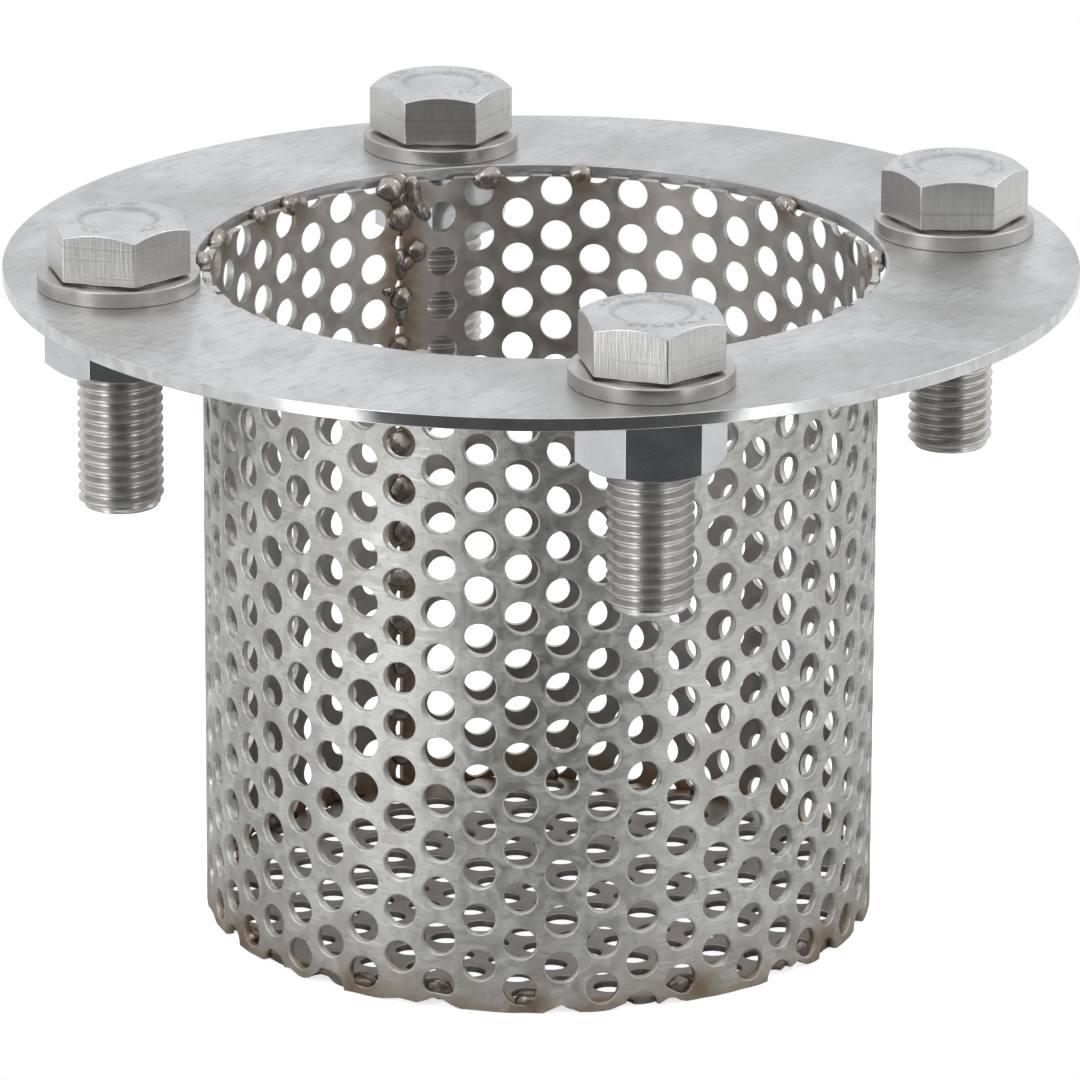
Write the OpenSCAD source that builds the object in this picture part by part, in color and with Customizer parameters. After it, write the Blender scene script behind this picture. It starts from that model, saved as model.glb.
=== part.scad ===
// Flanged strainer basket: a perforated sheet-metal basket welded into a flat flange ring,
// with its four flange bolts, washers and nuts in place.
// Z is up. The origin is on the basket's axis, at the level of its lower rim.
// Angles of details are counted anticlockwise, seen from above, from the front bolt (the -Y side).

/* [Flange ring] */
// Outer diameter of the ring
ring_od = 200; // [190:1:220]
// Diameter of the opening that the basket is welded into
ring_id = 128.2; // [128:0.1:129]
// Thickness of the ring
ring_t = 2.5; // [2:0.1:4]
// Height of the ring's top face above the basket's lower rim
ring_top = 126; // [108:9:180]
// Diameter of the bolt circle
bolt_circle = 160; // [158:1:165]
// Diameter of each bolt hole
bolt_hole = 18; // [17.5:0.5:20]

/* [Basket] */
// Outer diameter of the rolled basket
basket_od = 126.2; // [124:0.1:126.4]
// Thickness of the perforated sheet
sheet_t = 1.5; // [1:0.1:2]
// How far the basket's upper edge stays below the ring's top face
rim_drop = 1.6; // [1:0.1:2.4]

/* [Perforation] */
// Diameter of the punched holes
punch_d = 6.1; // [4:0.1:6.4]
// Distance between holes of one upright column
row_pitch = 9; // [9:0.5:12]
// Turn from one upright column of holes to the next, in degrees
column_step = 6.936; // [6.9:0.001:6.96]
// Number of whole columns in the rolled sheet
columns = 51; // [45:2:51]
// Distance between rows of holes in the floor
floor_row = 7.8; // [7.8:0.1:10]

/* [Seam] */
// Where the rolled sheet's two edges meet, in degrees from the front bolt
seam_at = 191.8; // [185:0.1:200]
// Turn from the seam to the first whole column, in degrees
seam_lead = 5.3; // [5:0.1:6]
// Width of the gap between the two edges
seam_gap = 0.6; // [0.3:0.1:1]
// Width of the slits that cut holes leave open in the seam
slit_w = 1.4; // [1:0.1:2]

/* [Welds] */
// Width of the weld along the seam
bead_w = 3.2; // [3:0.1:4]
// Height of the seam weld above the sheet, inside and outside
bead_h = 0.3; // [0.2:0.1:0.6]
// Radius of the weld drops on the seam
drop_r = 2.1; // [1.8:0.1:2.3]
// Radius of the tack welds
tack_r = 1.9; // [1.6:0.1:2]

/* [Bolts] */
// Nominal thread diameter
thread_d = 16; // [16]
// Bolt length under the head
bolt_len = 45; // [40:5:60]
// Height of the bolt head
head_h = 10; // [9:0.5:11]
// Width across the flats of the heads and nuts
hex_af = 24; // [24]
// Height of each nut
nut_h = 13; // [13:0.1:14.8]
// Outer diameter of each washer
washer_od = 30; // [28:0.5:30]
// Hole diameter of each washer
washer_id = 17; // [17:0.5:18]
// Thickness of each washer
washer_t = 3; // [2:0.5:3]

/* [Hidden] */
$fn = 48;
basket_r = basket_od / 2;
mean_r = basket_r - sheet_t / 2;
inner_r = basket_r - sheet_t;
shell_top = ring_top - rim_drop;
rows = floor(ring_top / row_pitch);
ring_under = ring_top - ring_t;
punch_reach = 6;
slit_shift = (punch_d - slit_w) / 2 / mean_r * 180 / PI;
floor_clear = 0.1;
floor_margin = 0.6;
floor_d = 2 * (inner_r - floor_clear);
// Turn of each bolt head and nut about its own axis, for the front, right, back and left bolts
head_turn = [27, 46, 46, 31];
nut_turn = [56, 20, 10, 55];
// Places of the tack welds around the basket, in degrees from the front bolt
flange_tacks = [12, 46, 81, 118, 159, 175, 192, 215, 224, 240, 254, 292, 326];
floor_tack_count = 12;
floor_tack_first = 14;
// The threads stand a little under the nominal size where the nut sits, and the nut runs free over both
engaged_d = thread_d - 0.32;
nut_clear = 0.05;
tip_chamfer = 1.4;
hex_chamfer = 0.9;
washer_edge = 0.3;
engaged_len = washer_t + ring_t + nut_h + 1;
eps = 0.01;

// Puts its children at an angle around the basket, counted from the front bolt
module around(angle) {
    rotate([0, 0, angle - 90]) children();
}

// A ring of rectangular section with a small bevel on its outer edges
module bevelled_ring(outer_r, inner_r, height, bevel) {
    rotate_extrude() polygon([
        [inner_r, 0], [outer_r - bevel, 0], [outer_r, bevel],
        [outer_r, height - bevel], [outer_r - bevel, height], [inner_r, height]
    ]);
}

// A hexagonal prism whose corners are turned down at the top, and at the bottom when both is true
module turned_hex(height, both) {
    corner_r = hex_af / 2 / cos(30);
    low = both ? hex_chamfer : 0;
    low_r = both ? hex_af / 2 - eps : corner_r + 1;
    intersection() {
        cylinder(r = corner_r, h = height, $fn = 6);
        rotate_extrude() polygon([
            [0, 0], [low_r, 0], [corner_r + (both ? 0.1 : 1), low],
            [corner_r + 0.1, height - hex_chamfer], [hex_af / 2 - eps, height], [0, height]
        ]);
    }
}

// One punched hole through the basket's wall
module punched(angle, z) {
    around(angle) translate([mean_r - punch_reach / 2, 0, z])
        rotate([0, 90, 0]) cylinder(d = punch_d, h = punch_reach);
}

// What is left open of the holes that the seam cuts through
module seam_slit(z) {
    intersection() {
        punched(seam_at - slit_shift, z);
        punched(seam_at + slit_shift, z);
    }
}

module flange_ring() {
    color("silver") difference() {
        translate([0, 0, ring_under]) cylinder(d = ring_od, h = ring_t);
        translate([0, 0, ring_under - 1]) cylinder(d = ring_id, h = ring_t + 2);
        for (k = [0:3]) around(90 * k) translate([bolt_circle / 2, 0, ring_under - 1])
            cylinder(d = bolt_hole, h = ring_t + 2);
    }
}

module basket_shell() {
    color("darkgray") difference() {
        cylinder(r = basket_r, h = shell_top);
        translate([0, 0, -1]) cylinder(r = inner_r, h = shell_top + 2);
        around(seam_at) translate([inner_r - 2, -seam_gap / 2, -1])
            cube([sheet_t + 4, seam_gap, shell_top + 2]);
        for (i = [1:columns], j = [0:rows]) {
            drop = (i % 2 == 1) ? 0 : row_pitch / 2;
            z = ring_top - drop - row_pitch * j;
            if (z > -punch_d / 2 + eps) punched(seam_at + seam_lead + column_step * (i - 1), z);
        }
        for (j = [0:rows - 1]) seam_slit(ring_top - row_pitch * (j + 0.5));
    }
}

module basket_floor() {
    limit = floor_d / 2 - floor_margin - punch_d / 2;
    span = ceil(floor_d / row_pitch / 2) + 1;
    color("darkgray") difference() {
        cylinder(d = floor_d, h = sheet_t);
        for (i = [-span:span], j = [-span:span]) {
            x = floor_row * i;
            y = row_pitch * (j + (i % 2 == 0 ? 0 : 0.5));
            if (norm([x, y]) < limit) translate([x, y, -1]) cylinder(d = punch_d, h = sheet_t + 2);
        }
    }
}

module shell_seam_weld() {
    color("rosybrown") difference() {
        union() {
            intersection() {
                difference() {
                    cylinder(r = basket_r + bead_h, h = shell_top - eps);
                    translate([0, 0, -1]) cylinder(r = inner_r - bead_h, h = shell_top + 2);
                }
                around(seam_at) translate([inner_r - 3, -bead_w / 2, sheet_t + 1])
                    cube([sheet_t + 6, bead_w, shell_top]);
            }
            for (j = [1:rows - 1]) around(seam_at) translate([inner_r, 0, ring_top - row_pitch * j])
                sphere(r = drop_r);
        }
        for (j = [0:rows - 1]) seam_slit(ring_top - row_pitch * (j + 0.5));
    }
}

module flange_tack_welds() {
    color("rosybrown") for (a = flange_tacks) around(a)
        translate([(basket_od + ring_id) / 4, 0, ring_top - tack_r - 0.1]) sphere(r = tack_r);
}

module floor_tack_welds() {
    color("rosybrown") for (k = [0:floor_tack_count - 1])
        around(floor_tack_first + 360 / floor_tack_count * k)
            translate([inner_r - 0.3, 0, tack_r + 0.1]) sphere(r = tack_r);
}

// A hexagon-head bolt threaded up to its head, standing head up through the ring
module hex_bolt(k) {
    under_head = ring_top + washer_t;
    around(90 * k) translate([bolt_circle / 2, 0, under_head]) {
        rotate([0, 0, head_turn[k] - 90 * k + 90]) turned_hex(head_h, false);
        translate([0, 0, -engaged_len]) cylinder(d = engaged_d, h = engaged_len + eps);
        translate([0, 0, tip_chamfer - bolt_len])
            cylinder(d = thread_d, h = bolt_len - engaged_len - tip_chamfer);
        translate([0, 0, -bolt_len])
            cylinder(d1 = thread_d - 2 * tip_chamfer, d2 = thread_d, h = tip_chamfer);
    }
}

// A flat washer between a bolt head and the ring
module flat_washer(k) {
    around(90 * k) translate([bolt_circle / 2, 0, ring_top])
        bevelled_ring(washer_od / 2, washer_id / 2, washer_t, washer_edge);
}

// A hexagon nut drawn up against the underside of the ring
module hex_nut(k) {
    bore_r = thread_d / 2 + nut_clear;
    around(90 * k) translate([bolt_circle / 2, 0, ring_under - nut_h]) difference() {
        rotate([0, 0, nut_turn[k] - 90 * k + 90]) turned_hex(nut_h, true);
        translate([0, 0, -1]) cylinder(r = bore_r, h = nut_h + 2);
    }
}

module front_bolt() { color("lightgray") hex_bolt(0); }
module right_bolt() { color("lightgray") hex_bolt(1); }
module back_bolt() { color("lightgray") hex_bolt(2); }
module left_bolt() { color("lightgray") hex_bolt(3); }
module front_washer() { color("gainsboro") flat_washer(0); }
module right_washer() { color("gainsboro") flat_washer(1); }
module back_washer() { color("gainsboro") flat_washer(2); }
module left_washer() { color("gainsboro") flat_washer(3); }
module front_nut() { color("gray") hex_nut(0); }
module right_nut() { color("gray") hex_nut(1); }
module back_nut() { color("gray") hex_nut(2); }
module left_nut() { color("gray") hex_nut(3); }

flange_ring();
basket_shell();
basket_floor();
shell_seam_weld();
flange_tack_welds();
floor_tack_welds();
front_bolt();
right_bolt();
back_bolt();
left_bolt();
front_washer();
right_washer();
back_washer();
left_washer();
front_nut();
right_nut();
back_nut();
left_nut();
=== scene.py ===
import math

import bmesh
import bpy
import numpy as np
from mathutils import Matrix, Vector, noise


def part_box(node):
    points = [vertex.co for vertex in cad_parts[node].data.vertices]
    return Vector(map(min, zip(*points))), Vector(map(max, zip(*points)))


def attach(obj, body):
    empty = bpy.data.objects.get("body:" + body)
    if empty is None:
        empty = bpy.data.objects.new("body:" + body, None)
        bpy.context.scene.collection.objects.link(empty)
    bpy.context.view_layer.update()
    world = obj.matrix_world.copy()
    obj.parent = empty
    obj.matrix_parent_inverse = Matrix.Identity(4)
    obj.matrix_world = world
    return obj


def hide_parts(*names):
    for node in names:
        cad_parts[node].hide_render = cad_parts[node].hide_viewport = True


# -------- frame and sizes, in metres
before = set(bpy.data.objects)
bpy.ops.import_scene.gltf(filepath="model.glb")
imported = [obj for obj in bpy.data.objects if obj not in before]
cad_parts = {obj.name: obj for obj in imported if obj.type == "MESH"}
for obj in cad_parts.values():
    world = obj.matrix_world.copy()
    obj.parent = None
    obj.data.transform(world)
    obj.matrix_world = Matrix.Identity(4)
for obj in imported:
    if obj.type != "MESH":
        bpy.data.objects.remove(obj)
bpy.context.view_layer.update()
MM = 0.001

ring_low, ring_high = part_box("flange_ring")
shell_low, shell_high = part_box("basket_shell")
floor_low, floor_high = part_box("basket_floor")
washer_low, washer_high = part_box("front_washer")

RING_R = ring_high.x
RING_TOP = ring_high.z
RING_UNDER = ring_low.z
RING_HOLE_R = 64.1 * MM
BOLT_CIRCLE_R = 80 * MM
BOLT_HOLE_R = 9 * MM
SHELL_R = shell_high.x
SHELL_TOP = shell_high.z
SHEET = floor_high.z - floor_low.z
FLOOR_R = floor_high.x
MEAN_R = SHELL_R - SHEET / 2
INNER_R = SHELL_R - SHEET

# The punched pattern, as the CAD basket has it. Angles are in degrees, counted from the front bolt.
PUNCH_R = 3.05 * MM
ROW_PITCH = 9 * MM
COLUMN_STEP = 6.936
COLUMNS = 51
FLOOR_ROW = 7.8 * MM
FLOOR_MARGIN = 0.6 * MM
EDGE_BITE = 2.2 * MM
SEAM_AT = 191.8
SEAM_LEAD = 5.3
# Half of the gap that the seam leaves, and the height of the slits in it, halved too
SEAM_GAP = 0.3 * MM
SLIT_HALF = 1.75 * MM
# The column of holes nearest the front, and the notches of the lower edge that were welded shut
# and ground flush
FRONT_COLUMN = 22
SHUT_NOTCHES = [FRONT_COLUMN + k for k in (-21, -17, -13, -11, -3, -1, 1, 5, 13, 15, 21, 27)]
# Where the lower edge was ground higher: degrees from the front bolt, mm taken off, half width in degrees
RIM_DIPS = [
    (0.5, 1.0, 1.6), (8.8, 1.2, 1.6), (31, 1.1, 1.8), (35.6, 2.0, 1.8), (44, 0.7, 1.3), (58, 1.1, 2.4),
    (86, 1.2, 2.5), (104, 0.8, 2.0), (131, 1.5, 2.4), (158, 0.9, 2.0), (173, 1.7, 2.8), (205, 1.2, 2.0),
    (229, 1.8, 2.4), (251, 0.7, 2.0), (268, 1.3, 2.2), (298.6, 0.9, 1.8), (305.5, 1.9, 1.8), (322, 0.6, 2.2),
    (328.6, 1.7, 2.6), (349.4, 1.7, 1.1),
]
# Where the tack welds are, in degrees
FLANGE_TACKS = [12, 46, 81, 118, 159, 175, 192, 215, 224, 240, 254, 292, 326]
FLOOR_TACKS = [14 + 30 * k for k in range(12)]

# The fasteners: width across the flats, thread, how each one is turned, and where the four stand
HEX_AF = 24 * MM
THREAD_R = 8 * MM
THREAD_PITCH = 2 * MM
HEAD_TURN = {"front": 27, "right": 46, "back": 46, "left": 31}
NUT_TURN = {"front": 56, "right": 20, "back": 10, "left": 55}
SIDES = {"front": 0, "right": 90, "back": 180, "left": 270}

# Points closer than this are one point: in finished pieces, in the flat sheet, and at cuts and in threads
NEAR_PIECE, NEAR_SHEET, NEAR_CUT = 2e-7, 1e-6, 1e-7


def around(angle_deg):
    """The direction at an angle round the basket, counted from the front bolt."""
    a = math.radians(angle_deg - 90)
    return np.array([math.cos(a), math.sin(a), 0.0])


# -------- mesh helpers
def make_object(name, verts, faces, materials, face_material=None, sharp_deg=35, weighted=False):
    """A mesh object with smooth faces, and sharp edges where the surface turns more than sharp_deg."""
    mesh = new_mesh(name, verts, faces, materials, face_material)
    sharpen(mesh, sharp_deg)
    return new_object(name, mesh, weighted)


def new_mesh(name, verts, faces, materials, face_material=None):
    """A mesh with its materials, and the number of each face's own one."""
    mesh = bpy.data.meshes.new(name)
    mesh.from_pydata([tuple(v) for v in verts], [], [tuple(int(i) for i in f) for f in faces])
    for m in materials:
        mesh.materials.append(m)
    if face_material is not None:
        mesh.polygons.foreach_set("material_index", np.asarray(face_material, dtype=np.int32))
    return mesh


def sharpen(mesh, sharp_deg):
    """Smooth faces, with sharp edges where the surface turns more than sharp_deg."""
    bm = bmesh.new()
    bm.from_mesh(mesh)
    bmesh.ops.remove_doubles(bm, verts=bm.verts, dist=NEAR_PIECE)
    for f in bm.faces:
        f.smooth = True
    limit = math.radians(sharp_deg)
    for e in bm.edges:
        e.smooth = len(e.link_faces) == 2 and e.calc_face_angle(0.0) < limit
    bm.to_mesh(mesh)
    bm.free()
    mesh.update()


def new_object(name, data, weighted=False):
    """A mesh, lamp or camera in the scene. weighted evens out the shading of a mesh's flat faces."""
    obj = bpy.data.objects.new(name, data)
    bpy.context.scene.collection.objects.link(obj)
    if weighted:
        obj.modifiers.new("flat_faces", "WEIGHTED_NORMAL").keep_sharp = True
    return obj


def loose_mesh(verts, faces):
    """A mesh that isn't in the scene yet, to be cut and joined."""
    mesh = bpy.data.meshes.new("loose")
    mesh.from_pydata(verts, [], faces)
    bm = bmesh.new()
    bm.from_mesh(mesh)
    bpy.data.meshes.remove(mesh)
    return bm


def lathe(profile, centre, count):
    """A closed ring turned from a closed profile of (radius, height) points."""
    r, z = np.array(profile).T
    angles = np.linspace(0, 2 * math.pi, count, endpoint=False)
    verts = [np.column_stack([r * math.cos(a), r * math.sin(a), z]) for a in angles]
    verts = np.vstack(verts) + np.array(centre)
    m = len(profile)
    faces = []
    for i in range(count):
        j = (i + 1) % count
        for k in range(m):
            l = (k + 1) % m
            faces.append((i * m + k, j * m + k, j * m + l, i * m + l))
    return verts, faces


def join_parts(parts):
    """Several (verts, faces) as one."""
    verts, faces, n = [], [], 0
    for v, f in parts:
        verts.append(np.asarray(v))
        faces += [tuple(i + n for i in x) for x in f]
        n += len(v)
    return np.vstack(verts), faces


# -------- perforated sheet
SEGMENTS_PER_EDGE = 4
# The rounded rim of a punched hole: its outer radius, how deep it dips, and how far the shading
# normals lean towards the hole on it and out of the hole in its throat
RIM_R = PUNCH_R + 0.32 * MM
RIM_DROP = 0.34 * MM
RIM_LEAN = 1.1
THROAT_LEAN = 0.45


def cell_outline(step_x, pitch):
    """Points along the edges of the six-sided patch of sheet round one hole of a staggered pattern."""
    half = pitch / 2
    near = (step_x**2 + half**2) / (2 * step_x)
    far = (step_x**2 - half**2) / (2 * step_x)
    corners = [(near, 0), (far, half), (-far, half), (-near, 0), (-far, -half), (far, -half)]
    points = []
    for k in range(6):
        a, b = np.array(corners[k]), np.array(corners[(k + 1) % 6])
        points += [a + (b - a) * i / SEGMENTS_PER_EDGE for i in range(SEGMENTS_PER_EDGE)]
    return np.array(points)


def flat_sheet(cells, step_x, pitch):
    """A flat sheet from its cells: (x, y, has a hole)."""
    outline = cell_outline(step_x, pitch)
    count = len(outline)
    angle = np.arctan2(outline[:, 1], outline[:, 0])
    ray = np.column_stack([np.cos(angle), np.sin(angle)])
    verts, faces = [], []
    for x, y, holed in cells:
        n = len(verts)
        for ring in (outline, ray * RIM_R, ray * PUNCH_R)[: 3 if holed else 2]:
            verts += [(*p, 0.0) for p in np.array([x, y]) + ring]
        if not holed:
            verts.append((x, y, 0.0))
        for k in range(count):
            l = (k + 1) % count
            a, b, c = n, n + count, n + 2 * count
            faces.append((a + k, a + l, b + l, b + k))
            faces.append((b + k, b + l, c + l, c + k) if holed else (b + k, b + l, c))
    bm = loose_mesh(verts, faces)
    bmesh.ops.remove_doubles(bm, verts=bm.verts, dist=NEAR_SHEET)
    return bm


def cut(bm, point, normal):
    """Cuts off what lies beyond the plane, on the side its normal points to."""
    geom = bm.verts[:] + bm.edges[:] + bm.faces[:]
    bmesh.ops.bisect_plane(bm, geom=geom, plane_co=point, plane_no=normal, dist=NEAR_CUT, clear_outer=True)


def thicken(bm, holes, place, axes, side=0):
    """Two skins and their edges from the flat sheet, shaded as sheet with rounded hole rims.

    place(xy, height) puts points of the sheet, with their height above its middle, where they belong.
    axes(xy) gives the directions there that the sheet's height, x and y point along.
    side is the material of the cut edges.
    """
    bm.verts.ensure_lookup_table()
    bm.verts.index_update()
    flat = np.array([v.co[:2] for v in bm.verts])
    nearest, toward = nearest_hole(flat, holes)
    share = np.interp(nearest, [PUNCH_R * 1.001, RIM_R], [1.0, 0.0])
    n = len(flat)
    front = place(flat, SHEET / 2 - RIM_DROP * share)
    back = place(flat, np.full(n, -SHEET / 2))
    verts = np.vstack([front, back])
    out, along_x, along_y = axes(flat)
    inward = toward[:, :1] * along_x + toward[:, 1:] * along_y
    front_normal = unit_rows(out + RIM_LEAN * share[:, None] * inward)
    throat_normal = unit_rows(inward + THROAT_LEAN * out)
    on_rim = nearest < PUNCH_R * 1.02
    faces, skin, normals = [], [], []
    for f in bm.faces:
        # material 0 is the front skin's and 1 is the back skin's
        ids = [v.index for v in f.verts]
        faces.append(tuple(ids))
        normals += [front_normal[i] for i in ids]
        faces.append(tuple(i + n for i in reversed(ids)))
        normals += [-out[i] for i in reversed(ids)]
        skin += [0, 1]
    for e in bm.edges:
        if len(e.link_faces) != 1:
            continue
        loop = e.link_loops[0]
        a, b = loop.vert.index, loop.link_loop_next.vert.index
        faces.append((b, a, a + n, b + n))
        skin.append(side)
        if on_rim[a] and on_rim[b]:
            normals += [throat_normal[b], throat_normal[a], inward[a], inward[b]]
        else:
            flat_normal = np.cross(verts[a] - verts[b], verts[a + n] - verts[b])
            normals += [flat_normal / np.linalg.norm(flat_normal)] * 4
    return verts, faces, skin, normals


def unit_rows(vectors):
    """The vectors, each made one long."""
    return vectors / np.linalg.norm(vectors, axis=1)[:, None]


# How many points are compared with every hole at a time, to save memory
BATCH = 4000


def nearest_hole(points, holes):
    """How far each point is from the nearest hole's centre, and the direction to it."""
    best = np.full(len(points), 1.0)
    toward = np.zeros((len(points), 2))
    for start in range(0, len(points), BATCH):
        part = points[start : start + BATCH]
        gap = holes[None, :, :] - part[:, None, :]
        d = np.linalg.norm(gap, axis=2)
        pick = d.argmin(axis=1)
        rows = np.arange(len(part))
        best[start : start + BATCH] = d[rows, pick]
        toward[start : start + BATCH] = gap[rows, pick] / d[rows, pick][:, None].clip(1e-9)
    return best, toward


def shaded_object(name, verts, faces, materials, face_material, normals):
    """A smooth mesh object that carries its own shading normals."""
    mesh = new_mesh(name, verts, faces, materials, face_material)
    mesh.polygons.foreach_set("use_smooth", [True] * len(mesh.polygons))
    mesh.normals_split_custom_set([tuple(v) for v in normals])
    mesh.update()
    return new_object(name, mesh)


def heat_at(points, sources, reach):
    """From 0 to 1, how near each point is to a weld."""
    best = np.full(len(points), 1.0)
    for s in sources:
        best = np.minimum(best, np.linalg.norm(points - s, axis=1))
    return np.exp(-((best / reach) ** 2))


def add_heat(obj, sources, reach, elsewhere=None):
    """Stores how near each vertex is to a weld, for the heat tint.

    elsewhere(radius, height) adds tint of its own.
    """
    points = np.array([v.co[:] for v in obj.data.vertices])
    values = heat_at(points, sources, reach)
    if elsewhere:
        values = np.maximum(values, elsewhere(np.hypot(points[:, 0], points[:, 1]), points[:, 2]))
    layer = obj.data.attributes.new("weld_warmth", "FLOAT", "POINT")
    layer.data.foreach_set("value", values.astype(np.float32))


def column_angle(column):
    """Where an upright column of holes stands, in degrees from the front bolt."""
    return SEAM_AT + SEAM_LEAD + COLUMN_STEP * (column - 1)


def rim_rise(angle_deg):
    """How far the hand-trimmed lower edge stands above its lowest, at angles from the front bolt."""
    turn = np.radians(angle_deg)
    rise = 0.08 * (1 + np.sin(9 * turn + 0.7)) + 0.07 * (1 + np.sin(47 * turn + 2))
    highest = 2.4
    for at, height, half_width in RIM_DIPS:
        away = (np.asarray(angle_deg) - at + 180) % 360 - 180
        rise = rise + height * np.exp(-((away / half_width) ** 2))
    return np.minimum(rise, highest) * MM


def make_shell(materials):
    """The rolled, perforated wall: a flat punched sheet, cut to size and then rolled."""
    step = math.radians(COLUMN_STEP) * MEAN_R
    lead = math.radians(SEAM_LEAD) * MEAN_R
    length = 2 * math.pi * MEAN_R
    rows = range(-1, 16)
    # how far above the lower edge the trimming of it still tells
    rim_reach = 4.5 * MM
    cells = []
    for column in range(COLUMNS + 2):
        x = lead + step * (column - 1)
        lower = ROW_PITCH / 2 if column % 2 == 0 else 0.0
        for row in rows:
            y = RING_TOP - lower - ROW_PITCH * row
            if y < shell_low.z - ROW_PITCH or y > SHELL_TOP + ROW_PITCH:
                continue
            plugged = column > COLUMNS or (y < PUNCH_R and column in SHUT_NOTCHES)
            cells.append((x, y, not plugged))
    bm = flat_sheet(cells, step, ROW_PITCH)
    cut(bm, (0, SHELL_TOP, 0), (0, 1, 0))
    cut(bm, (0, shell_low.z, 0), (0, -1, 0))
    cut(bm, (SEAM_GAP, 0, 0), (-1, 0, 0))
    cut(bm, (length - SEAM_GAP, 0, 0), (1, 0, 0))
    holes = np.array([c[:2] for c in cells if c[2]])

    def roll(flat, height):
        turn = flat[:, 0] / MEAN_R
        a = np.radians(SEAM_AT - 90) + turn
        z = flat[:, 1]
        # the rim was trimmed by hand: it rises and falls a little along the lower edge
        near_rim = np.clip(1 - z / rim_reach, 0, 1)
        z = z + near_rim * rim_rise(SEAM_AT + np.degrees(turn))
        # rolling leaves the wall very slightly out of round
        wave = 0.05 * MM * np.sin(5 * turn + 1) * np.sin(z / (31 * MM)) - 0.05 * MM
        r = MEAN_R + height + wave
        return np.column_stack([r * np.cos(a), r * np.sin(a), z])

    def axes(flat):
        a = np.radians(SEAM_AT - 90) + flat[:, 0] / MEAN_R
        zero = np.zeros(len(flat))
        out = np.column_stack([np.cos(a), np.sin(a), zero])
        return out, np.column_stack([-np.sin(a), np.cos(a), zero]), np.column_stack([zero, zero, zero + 1])

    verts, faces, skin, normals = thicken(bm, holes, roll, axes)
    bm.free()
    return shaded_object("basket_wall", verts, faces, materials, skin, normals)


def make_floor(materials):
    """The perforated disc that closes the lower end."""
    limit = FLOOR_R - FLOOR_MARGIN - PUNCH_R
    span = int(FLOOR_R / ROW_PITCH) + 3
    cells = []
    for i in range(-span, span + 1):
        for j in range(-span, span + 1):
            x, y = FLOOR_ROW * i, ROW_PITCH * (j + (i % 2) / 2)
            r = math.hypot(x, y)
            # the disc was cut out of a larger punched sheet, so some holes leave bites in its edge
            if r < FLOOR_R + ROW_PITCH:
                cells.append((x, y, r < limit or r > FLOOR_R - EDGE_BITE))
    bm = flat_sheet(cells, FLOOR_ROW, ROW_PITCH)
    # the disc's edge is cut by many straight planes
    edge_count = 120
    for k in range(edge_count):
        a = 2 * math.pi * k / edge_count
        out = Vector((math.cos(a), math.sin(a), 0))
        cut(bm, out * FLOOR_R * math.cos(math.pi / edge_count), out)
    holes = np.array([c[:2] for c in cells if c[2]])
    middle = (floor_low.z + floor_high.z) / 2
    # the wall's trimming tells in this much of the disc's edge, and leaves at least this thickness
    rim_start, rim_width = 3 * MM, 2.5 * MM
    thinnest = 0.3 * MM

    def lay(flat, height):
        r = np.hypot(flat[:, 0], flat[:, 1])
        angle = np.degrees(np.arctan2(flat[:, 1], flat[:, 0])) + 90
        # the trimming of the wall's lower edge took metal off the disc's edge too
        ground = np.clip((r - FLOOR_R + rim_start) / rim_width, 0, 1) * rim_rise(angle) * 0.9
        lifted = np.minimum(middle + height + ground, floor_high.z - thinnest)
        return np.column_stack([flat, np.where(height < 0, lifted, middle + height)])

    def axes(flat):
        ones, zero = np.ones(len(flat)), np.zeros(len(flat))
        up = np.column_stack([zero, zero, ones])
        return up, np.column_stack([ones, zero, zero]), np.column_stack([zero, ones, zero])

    verts, faces, skin, normals = thicken(bm, holes, lay, axes, 2)
    bm.free()
    return shaded_object("basket_floor_disc", verts, faces, materials, skin, normals)


# -------- flange ring
def make_ring(materials):
    """The flat ring, turned with worn edges and drilled for its four bolts."""
    worn = 0.22 * MM
    # the circles just outside the opening are there for the heat tint, which fades across them
    fading = [RING_HOLE_R + k * MM for k in (0.8, 1.6, 2.6, 4.0)]
    profile = [
        (RING_HOLE_R, RING_UNDER + worn),
        (RING_HOLE_R + worn, RING_UNDER),
        *[(r, RING_UNDER) for r in fading],
        (RING_R - worn, RING_UNDER),
        (RING_R - 0.3 * worn, RING_UNDER + 0.3 * worn),
        (RING_R, RING_UNDER + worn),
        (RING_R, RING_TOP - worn),
        (RING_R - 0.3 * worn, RING_TOP - 0.3 * worn),
        (RING_R - worn, RING_TOP),
        *[(r, RING_TOP) for r in reversed(fading)],
        (RING_HOLE_R + worn, RING_TOP),
        (RING_HOLE_R, RING_TOP - worn),
    ]
    ring = make_object("ring_blank", *lathe(profile, (0, 0, 0), 288), materials)
    tip, end = RING_UNDER - 2 * MM, RING_TOP + 2 * MM
    side = [(0.0, tip), (BOLT_HOLE_R, tip), (BOLT_HOLE_R, end), (0.0, end)]
    drills = [lathe(side, around(turn) * BOLT_CIRCLE_R, 64) for turn in SIDES.values()]
    drill = make_object("drill", *join_parts(drills), materials)
    mod = ring.modifiers.new("drilled", "BOOLEAN")
    mod.operation = "DIFFERENCE"
    mod.solver = "EXACT"
    mod.object = drill
    mesh = bpy.data.meshes.new_from_object(ring.evaluated_get(bpy.context.evaluated_depsgraph_get()))
    bpy.data.objects.remove(ring)
    bpy.data.objects.remove(drill)
    # material 0 is the plate's and 1 is its cut outer edge's
    for face in mesh.polygons:
        outer = math.hypot(face.center.x, face.center.y) > RING_R - MM
        face.material_index = 1 if outer and abs(face.normal.z) < 0.9 else 0
    sharpen(mesh, 50)
    return new_object("flange_plate", mesh, True)


# -------- hexagons and threads
SIDE_POINTS, CORNER_POINTS = 9, 5


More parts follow.
